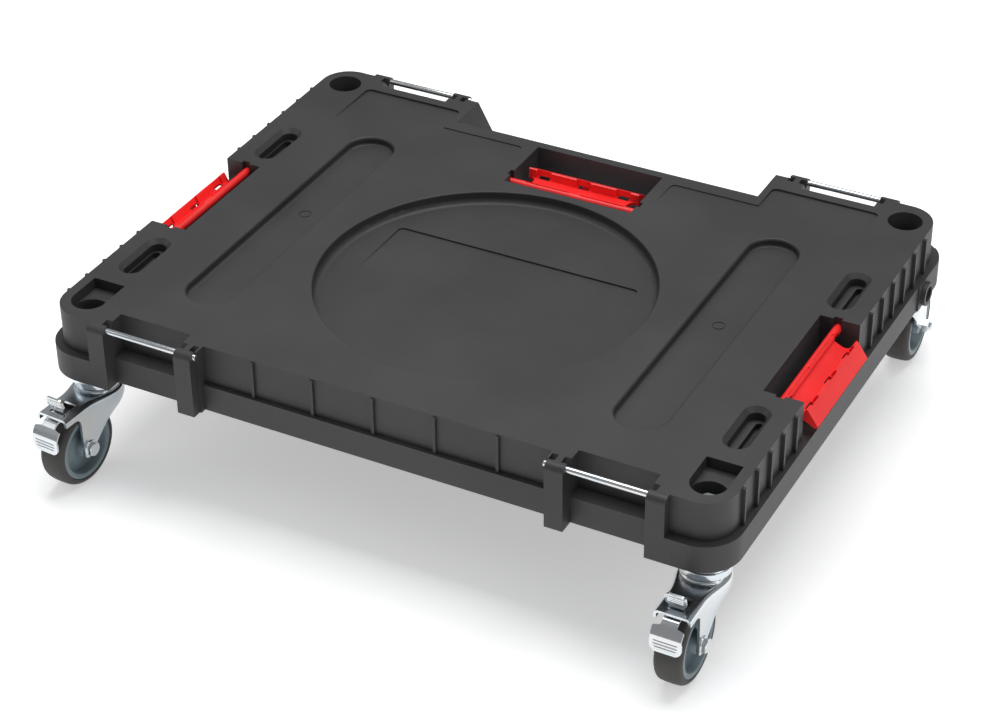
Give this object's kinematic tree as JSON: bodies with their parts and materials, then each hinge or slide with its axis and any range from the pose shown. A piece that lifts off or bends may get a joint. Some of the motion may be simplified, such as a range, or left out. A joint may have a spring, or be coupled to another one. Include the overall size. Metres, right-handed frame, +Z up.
{
  "type": "tool box transport platform",
  "caption": "Low wheeled platform that carries stacking tool boxes: moulded deck, folding latches, lashing rods and braked swivel casters.",
  "frame": {"origin": "on the floor under the middle of the deck", "axes": "+X to the right along the long side, +Y to the back where the hand hole is, +Z up"},
  "size_m": [0.71, 0.6398, 0.18],
  "materials": {
    "deck_plastic": "fine spark-eroded grain, charcoal black",
    "latch_plastic": "satin red moulding",
    "rod_steel": "zinc plated round bar",
    "sheet_zinc": "bright blue zinc plate on pressed steel",
    "lever_zinc": "bright zinc plate on pressed steel",
    "fastener_zinc": "bright zinc plate",
    "ball_steel": "polished bearing steel",
    "spring_steel": "drawn spring wire",
    "washer_nylon": "natural nylon",
    "tyre_rubber": "soft grey-black thermoplastic rubber",
    "rim_plastic": "blue-grey moulded wheel centre"
  },
  "bodies": {
    "root": {"deck": "deck_plastic", "ribs_lengthwise": "deck_plastic", "ribs_crosswise": "deck_plastic", "rod_front_left": "rod_steel", "rod_front_right": "rod_steel", "rod_back_left": "rod_steel", "rod_back_right": "rod_steel", "stem_bolts": "fastener_zinc", "stem_washers": "fastener_zinc", "stem_nuts": "fastener_zinc", "top_races": "sheet_zinc", "kingpins": "sheet_zinc", "swivel_balls": "ball_steel", "thrust_washers": "washer_nylon"},
    "left_latch": {"latch_left": "latch_plastic"},
    "right_latch": {"latch_right": "latch_plastic"},
    "rear_latch": {"latch_rear": "latch_plastic"},
    "front_left_swivel": {"fork_fl": "sheet_zinc", "axle_bolt_fl": "fastener_zinc", "axle_nut_fl": "fastener_zinc", "brake_pin_fl": "fastener_zinc", "brake_spring_fl": "spring_steel"},
    "front_left_wheel": {"tyre_fl": "tyre_rubber", "rim_fl": "rim_plastic", "bush_fl": "washer_nylon"},
    "front_left_brake": {"brake_lever_fl": "lever_zinc"},
    "front_right_swivel": {"fork_fr": "sheet_zinc", "axle_bolt_fr": "fastener_zinc", "axle_nut_fr": "fastener_zinc", "brake_pin_fr": "fastener_zinc", "brake_spring_fr": "spring_steel"},
    "front_right_wheel": {"tyre_fr": "tyre_rubber", "rim_fr": "rim_plastic", "bush_fr": "washer_nylon"},
    "front_right_brake": {"brake_lever_fr": "lever_zinc"},
    "back_left_swivel": {"fork_bl": "sheet_zinc", "axle_bolt_bl": "fastener_zinc", "axle_nut_bl": "fastener_zinc", "brake_pin_bl": "fastener_zinc", "brake_spring_bl": "spring_steel"},
    "back_left_wheel": {"tyre_bl": "tyre_rubber", "rim_bl": "rim_plastic", "bush_bl": "washer_nylon"},
    "back_left_brake": {"brake_lever_bl": "lever_zinc"},
    "back_right_swivel": {"fork_br": "sheet_zinc", "axle_bolt_br": "fastener_zinc", "axle_nut_br": "fastener_zinc", "brake_pin_br": "fastener_zinc", "brake_spring_br": "spring_steel"},
    "back_right_wheel": {"tyre_br": "tyre_rubber", "rim_br": "rim_plastic", "bush_br": "washer_nylon"},
    "back_right_brake": {"brake_lever_br": "lever_zinc"}
  },
  "joints": [
    {"name": "front_left_swivel_turn", "type": "hinge", "parent": "root", "child": "front_left_swivel", "pos_m": [-0.315, -0.236, 0], "axis": [0, 0, 1], "continuous": true},
    {"name": "front_left_wheel_roll", "type": "hinge", "parent": "front_left_swivel", "child": "front_left_wheel", "pos_m": [-0.31814, -0.27588, 0.04], "axis": [-0.9969, 0.0785, 0], "continuous": true},
    {"name": "front_left_brake_press", "type": "hinge", "parent": "front_left_swivel", "child": "front_left_brake", "pos_m": [-0.31947, -0.29282, 0.0823], "axis": [0.9969, -0.0785, 0], "range_deg": [0, 5]},
    {"name": "front_right_swivel_turn", "type": "hinge", "parent": "root", "child": "front_right_swivel", "pos_m": [0.315, -0.236, 0], "axis": [0, 0, 1], "continuous": true},
    {"name": "front_right_wheel_roll", "type": "hinge", "parent": "front_right_swivel", "child": "front_right_wheel", "pos_m": [0.315, -0.276, 0.04], "axis": [-1, 0, 0], "continuous": true},
    {"name": "front_right_brake_press", "type": "hinge", "parent": "front_right_swivel", "child": "front_right_brake", "pos_m": [0.315, -0.293, 0.0823], "axis": [1, 0, 0], "range_deg": [0, 5]},
    {"name": "back_left_swivel_turn", "type": "hinge", "parent": "root", "child": "back_left_swivel", "pos_m": [-0.315, 0.236, 0], "axis": [0, 0, 1], "continuous": true},
    {"name": "back_left_wheel_roll", "type": "hinge", "parent": "back_left_swivel", "child": "back_left_wheel", "pos_m": [-0.3164, 0.27598, 0.04], "axis": [0.9994, 0.0349, 0], "continuous": true},
    {"name": "back_left_brake_press", "type": "hinge", "parent": "back_left_swivel", "child": "back_left_brake", "pos_m": [-0.31699, 0.29296, 0.0823], "axis": [-0.9994, -0.0349, 0], "range_deg": [0, 5]},
    {"name": "back_right_swivel_turn", "type": "hinge", "parent": "root", "child": "back_right_swivel", "pos_m": [0.315, 0.236, 0], "axis": [0, 0, 1], "continuous": true},
    {"name": "back_right_wheel_roll", "type": "hinge", "parent": "back_right_swivel", "child": "back_right_wheel", "pos_m": [0.3136, 0.27598, 0.04], "axis": [0.9994, 0.0349, 0], "continuous": true},
    {"name": "back_right_brake_press", "type": "hinge", "parent": "back_right_swivel", "child": "back_right_brake", "pos_m": [0.31301, 0.29296, 0.0823], "axis": [-0.9994, -0.0349, 0], "range_deg": [0, 5]},
    {"name": "left_latch_fold", "type": "hinge", "parent": "root", "child": "left_latch", "pos_m": [-0.32, -0.0233, 0.169], "axis": [0, 1, 0], "range_deg": [0, 100]},
    {"name": "right_latch_fold", "type": "hinge", "parent": "root", "child": "right_latch", "pos_m": [0.32, -0.0233, 0.169], "axis": [0, -1, 0], "range_deg": [0, 100]},
    {"name": "rear_latch_fold", "type": "hinge", "parent": "root", "child": "rear_latch", "pos_m": [0, 0.1488, 0.169], "axis": [1, 0, 0], "range_deg": [-20, 85]}
  ]
}
